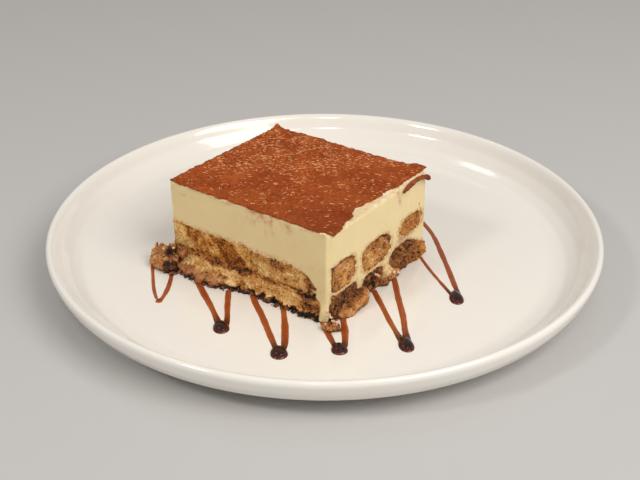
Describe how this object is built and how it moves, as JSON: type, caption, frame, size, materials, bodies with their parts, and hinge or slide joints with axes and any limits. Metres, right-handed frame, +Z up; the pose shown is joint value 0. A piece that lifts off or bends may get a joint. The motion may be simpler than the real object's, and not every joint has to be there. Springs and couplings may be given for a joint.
{
  "type": "tiramisu slice",
  "caption": "Square-cut slice of tiramisu with sponge fingers, cream and a cocoa top, served on a round coupe plate with zigzags of coffee sauce.",
  "frame": {"origin": "on the table below the middle of the plate", "axes": "+Z up; +X along the sponge fingers, towards the slice's right cut face; -Y towards the slice's front cut face"},
  "size_m": [0.27, 0.27, 0.0533],
  "materials": {
    "plate_glaze": "glossy warm white glazed porcelain",
    "cream": "smooth pale yellow mascarpone cream with a soft sheen",
    "cocoa": "matte reddish brown cocoa powder, finely grained",
    "pale_sponge": "open beige crumb with coffee-brown soaked patches",
    "soaked_sponge": "dark brown coffee-soaked crumb, moist",
    "syrup": "glossy translucent amber-brown coffee sauce, darker where it is thick"
  },
  "bodies": {
    "root": {"plate": "plate_glaze", "cream": "cream", "cocoa_top": "cocoa", "cocoa_curl": "cocoa", "finger_upper_front_left": "pale_sponge", "finger_upper_front_right": "pale_sponge", "finger_upper_middle": "pale_sponge", "finger_upper_back_left": "pale_sponge", "finger_upper_back_right": "pale_sponge", "finger_lower_front_left": "soaked_sponge", "finger_lower_front_right": "soaked_sponge", "finger_lower_middle": "soaked_sponge", "finger_lower_back_left": "soaked_sponge", "finger_lower_back_right": "soaked_sponge", "soaked_lump_left": "soaked_sponge", "soaked_lump_right": "soaked_sponge", "sauce_front_1": "syrup", "sauce_front_2": "syrup", "sauce_front_3": "syrup", "sauce_front_4": "syrup", "sauce_front_5": "syrup", "sauce_front_6": "syrup", "sauce_back_1": "syrup", "sauce_back_2": "syrup", "sauce_back_3": "syrup", "sauce_back_4": "syrup"}
  },
  "joints": []
}
